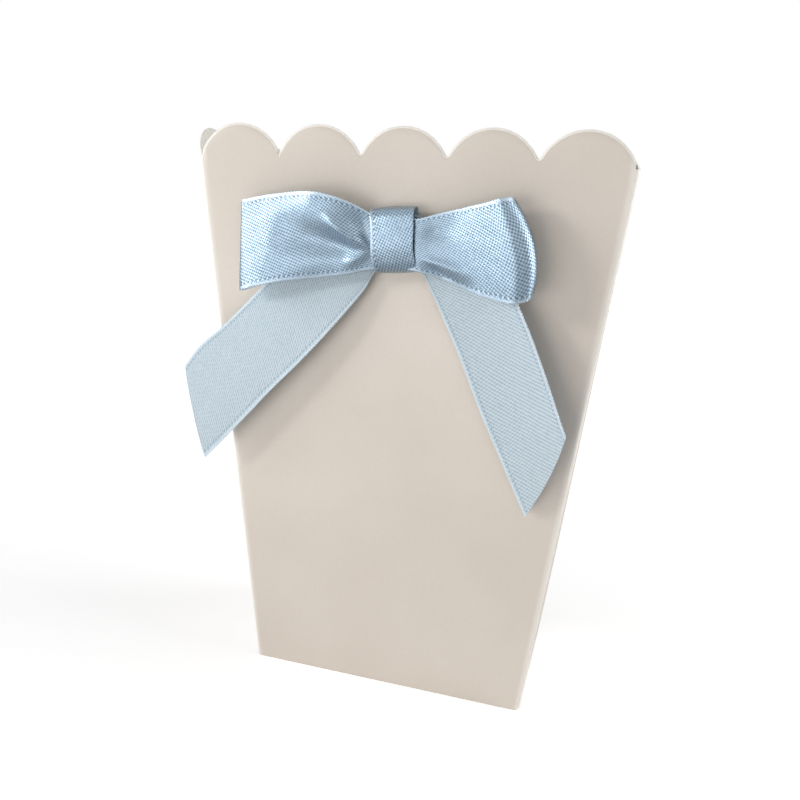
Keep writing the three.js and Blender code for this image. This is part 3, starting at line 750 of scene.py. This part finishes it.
def hollow(x, y, foot, angle, reach, depth, width):
    """A soft hollow that opens away from the knot."""
    along, beside = from_foot(x, y, foot, angle)
    spread = width * (0.35 + 0.65 * np.clip(along / reach, 0, 1))
    trough = -depth * np.exp(-((beside / spread) ** 2))
    end = 1 - smoothstep(along, 0.6 * reach, 1.25 * reach)
    return trough * smoothstep(along, 0, 0.5 * reach) * end


def left_gathers(x, y):
    """Height added to the front of the left loop."""
    knot_side = (-5.4, -2.3)
    return (
        pleat(x, y, knot_side, 147, 13.5, 2.5, 2.6) + pleat(x, y, knot_side, 211, 8.0, 1.1, 1.3)
        + hollow(x, y, knot_side, 172, 20, 2.2, 4.4) + hollow(x, y, knot_side, 118, 8, 0.9, 2.0)
    )


def right_gathers(x, y):
    """Height added to the front of the right loop."""
    knot_side = (4.2, -3.2)
    return (
        pleat(x, y, knot_side, -14, 14.0, 1.2, 1.8) + hollow(x, y, knot_side, -27, 13, 1.5, 1.7)
        + hollow(x, y, (4.2, 1.0), 14, 9, 0.5, 2.2)
    )


def loop(name, stations, gathers, node):
    """A loop of ribbon, bent back on itself, with gathers(x, y) raising its front."""
    across = np.linspace(-1, 1, ACROSS + 1)
    line, length = ribbon_line(stations)
    x, y, z = across_profile(line, across)
    fold_row = int(np.argmax(np.abs(x[:, ACROSS // 2])))
    front = 1 - smoothstep(np.arange(len(line)), fold_row - GATHER_FADE_ROWS, fold_row)[:, None]
    extra = relax(gathers(x, y) * front, 10)
    rng = np.random.default_rng(len(name))
    for wave in rng.normal(0, 1, (6, 3)):
        extra = extra + 0.012 * np.sin(x * (0.35 + 0.1 * wave[0]) + y * 0.45 * wave[1] + 3 * wave[2])
    grid = from_bow(x, y, z + extra)
    if x[fold_row, 0] < 0:
        grid = grid[:, ::-1]
    return ribbon_solid(name, grid, length, [satin, reverse],
                        node)


# Stations of the tails, in the same order of numbers, from the knot to a little past the cut
LEFT_TAIL = [
    (-1.3, -1.3, -1.3, -5.6, 5.4, 2.3, 2.3, 2.3),
    (-5.0, -5.4, -5.8, -6.6, 5.0, 2.4, 2.4, 2.3),
    (-7.6, -10.4, -14.0, -10.9, 2.5, 2.9, 2.5, 2.4),
    (-10.4, -15.8, -21.6, -14.7, -2.0, 3.6, 2.6, 2.2),
    (-15.2, -21.9, -28.9, -20.6, -8.4, 4.6, 3.1, 2.0),
    (-21.7, -28.9, -35.6, -28.0, -15.3, 5.3, 3.9, 2.1),
    (-28.8, -36.1, -42.5, -35.4, -22.1, 5.8, 4.5, 2.6),
    (-35.4, -42.6, -48.8, -42.7, -27.7, 6.1, 5.0, 3.2),
    (-41.6, -48.5, -54.6, -49.4, -35.4, 6.2, 5.3, 3.8),
    (-51.6, -58.4, -64.6, -59.8, -46.4, 6.3, 5.6, 4.2),
]
RIGHT_TAIL = [
    (-0.3, -0.3, -0.3, -5.5, 5.5, 2.3, 2.3, 2.3),
    (4.3, 4.4, 4.5, -6.2, 5.0, 2.3, 2.3, 2.3),
    (7.4, 11.2, 15.0, -11.0, 0.2, 2.0, 2.4, 3.0),
    (10.6, 16.8, 22.6, -17.2, -5.4, 1.8, 3.0, 4.8),
    (14.6, 22.0, 28.2, -25.4, -14.3, 1.6, 3.7, 6.6),
    (19.6, 27.4, 33.4, -36.4, -25.0, 1.6, 4.4, 7.8),
    (25.0, 32.8, 38.7, -46.8, -37.2, 1.8, 5.0, 8.5),
    (31.2, 38.8, 44.6, -58.7, -49.4, 2.2, 5.4, 8.7),
    (36.6, 44.0, 49.6, -69.0, -60.0, 2.4, 5.6, 8.8),
]


def tail(name, stations, tip, corner, node):
    """A tail, with its end cut at a slant from the tip on its low edge to the corner on its high edge."""
    across = np.linspace(-1, 1, ACROSS + 1)
    line, length = ribbon_line(stations)
    x, y, z = across_profile(line, across)
    wide = np.stack([x, y, z], -1)
    run = np.linspace(0, length, len(wide))
    low_end = run[np.argmin(np.hypot(x[:, 0] - tip[0], y[:, 0] - tip[1]))]
    high_end = run[np.argmin(np.hypot(x[:, -1] - corner[0], y[:, -1] - corner[1]))]
    ends = low_end + (high_end - low_end) * (across + 1) / 2
    longest = max(low_end, high_end)
    rows = int(longest / STEP)
    shares = np.linspace(0, 1, rows)
    grid = np.empty((rows, len(across), 3))
    for j in range(len(across)):
        for k in range(3):
            grid[:, j, k] = np.interp(shares * ends[j], run, wide[:, j, k])
    ripple = 0.05 * np.sin(grid[..., 0] * 0.5 + 1) * np.sin(grid[..., 1] * 0.33)
    placed = from_bow(grid[..., 0], grid[..., 1], grid[..., 2] + ripple)
    if stations[-1][0] < 0:
        placed = placed[:, ::-1]
    return ribbon_solid(name, placed, longest, [reverse, satin],
                        node)


def knot():
    """The band round the middle of the bow, with its own selvage and a few soft wrinkles."""
    half, back, front = 6.6, 1.5, 6.7    # half its height, and how far its back and front lie out
    upper = [
        (half - 1.4, back), (half - 0.2, back + 0.5), (half, back + 1.6), (half - 0.1, front - 3.0),
        (half - 0.5, front - 1.7), (half - 1.4, front - 0.9), (half - 3.0, front - 0.42),
    ]
    lower = [(-y, z) for y, z in reversed(upper)]
    outline = upper + [(0, front)] + lower + [(0, back - 0.05)]
    ring, length = cubic(outline + outline[:1], 240, weigh=2)
    ring = ring[:-1]
    across = np.linspace(-1, 1, 41)
    y, z = ring[:, :1], ring[:, 1:]
    x = across[None, :] * KNOT_HALF_WIDTH * (1 - 0.05 * np.cos(y / half * math.pi / 2))
    x = x + 0.12 * np.sin(y * 0.7)
    swell = 1 + 0.04 * (1 - across[None, :] ** 2)
    wrinkle = 0.02 * np.sin(across[None, :] * 5 + y * 0.5) * smoothstep(z, 3, 5)
    y, z = y * swell, (z - back) * swell + back + wrinkle
    turn = math.radians(KNOT_TURN)
    grid = from_bow(KNOT_SHIFT + x * math.cos(turn) - y * math.sin(turn),
                    x * math.sin(turn) + y * math.cos(turn), z)
    return ribbon_solid("bow_knot", grid, length, [satin, reverse],
                        "bow_knot_band", closed=True, cloth=(-1.0, 0.04))


carton_walls()
folds()
loop("bow_loop_left", LEFT_LOOP, left_gathers, "bow_left_loop")
loop("bow_loop_right", RIGHT_LOOP, right_gathers, "bow_right_loop")
tail("bow_tail_left", LEFT_TAIL, (-46.0, -54.2), (-52.2, -32.6), "bow_left_tail")
tail("bow_tail_right", RIGHT_TAIL, (31.2, -58.7), (38.7, -37.2), "bow_right_tail")
knot()

for name, finish in (("bottom_panel", board), ("tuck_tongue", board), ("left_dust_flap", inside),
                     ("right_dust_flap", inside), ("bow_glue_dot", glue)):
    nodes[name].data.materials.clear()
    nodes[name].data.materials.append(finish)


# Studio

def camera():
    """The photograph's view."""
    data = bpy.data.cameras.new("camera")
    data.sensor_width = 36.0
    data.lens = 36.0 * CAMERA_FOCAL_PIXELS / PICTURE_PIXELS
    data.clip_start = 0.01
    made = bpy.data.objects.new("camera", data)
    right, down = Vector(CAMERA_RIGHT).normalized(), Vector(CAMERA_DOWN).normalized()
    ahead = right.cross(down)
    turn = Matrix((right, -down, -ahead)).transposed()
    made.matrix_world = Matrix.Translation(Vector(CAMERA_PLACE) * MM) @ turn.to_4x4()
    bpy.context.scene.collection.objects.link(made)
    bpy.context.scene.camera = made


def lamp(name, place, target, size, power):
    data = bpy.data.lights.new(name, "AREA")
    data.size = size
    data.energy = power
    made = bpy.data.objects.new(name, data)
    made.location = place
    made.rotation_euler = (Vector(target) - Vector(place)).to_track_quat("-Z", "Y").to_euler()
    bpy.context.scene.collection.objects.link(made)


def seen_directly(tree):
    """1 where the camera, a gloss or a clear material looks straight at the world, and otherwise 0."""
    path = tree.nodes.new("ShaderNodeLightPath")
    seen = tree.nodes.new("ShaderNodeMath")
    seen.operation = "MAXIMUM"
    tree.links.new(path.outputs["Is Camera Ray"], seen.inputs[0])
    tree.links.new(path.outputs["Is Glossy Ray"], seen.inputs[1])
    also = tree.nodes.new("ShaderNodeMath")
    also.operation = "MAXIMUM"
    tree.links.new(seen.outputs[0], also.inputs[0])
    tree.links.new(path.outputs["Is Transmission Ray"], also.inputs[1])
    return also.outputs[0]


def world():
    """Soft light from all round, white where it is seen."""
    made = bpy.data.worlds.new("studio")
    made.use_nodes = True
    tree = made.node_tree
    ambient = tree.nodes["Background"]
    ambient.inputs["Color"].default_value = (0.95, 0.97, 1.0, 1)
    ambient.inputs["Strength"].default_value = 0.25
    white = tree.nodes.new("ShaderNodeBackground")
    white.inputs["Color"].default_value = (1, 1, 1, 1)
    white.inputs["Strength"].default_value = 1.0
    mix = tree.nodes.new("ShaderNodeMixShader")
    tree.links.new(seen_directly(tree), mix.inputs[0])
    tree.links.new(ambient.outputs[0], mix.inputs[1])
    tree.links.new(white.outputs[0], mix.inputs[2])
    tree.links.new(mix.outputs[0], tree.nodes["World Output"].inputs[0])
    bpy.context.scene.world = made


def floor():
    """A pale floor that keeps the object's shadow and fades to white far from it."""
    size = 4.0
    corners = [(-size, -size, 0), (size, -size, 0), (size, size, 0), (-size, size, 0)]
    mesh = bpy.data.meshes.new("floor")
    mesh.from_pydata(corners, [], [(0, 1, 2, 3)])
    made = bpy.data.objects.new("floor", mesh)
    made.location.z = -0.00002
    bpy.context.scene.collection.objects.link(made)
    s = Shader("floor", Roughness=0.9)
    s.shader.inputs["Base Color"].default_value = (0.86, 0.86, 0.86, 1)
    s.shader.inputs["Emission Color"].default_value = (1, 1, 1, 1)
    path = s.node("ShaderNodeLightPath")
    place = s.node("ShaderNodeTexCoord").outputs["Object"]
    reach = s.node("ShaderNodeVectorMath", {0: place}, operation="LENGTH")
    glow = s.range(reach.outputs["Value"], 0.15, 0.7, 0.45, 1.0)
    s.set("Emission Strength", s.math("MULTIPLY", path.outputs["Is Camera Ray"], glow))
    mesh.materials.append(s.material)


camera()
world()
floor()
knot_place = from_bow(0.0, 0.0, 0.0) * MM
lamp("key", (-0.64, -0.52, 0.315), knot_place, 0.15, 1.75)
lamp("key_soft", (-0.78, -0.27, 0.30), knot_place, 0.36, 1.8)
lamp("fill", (0.30, -0.75, 0.20), knot_place, 0.7, 0.5)
lamp("low", (-0.10, -0.30, 0.015), (0, 0, 0.02), 0.2, 0.36)
lamp("side", (0.60, 0.12, 0.30), (0, 0, 0.07), 0.5, 3.0)

bpy.context.scene.view_settings.view_transform = "Standard"
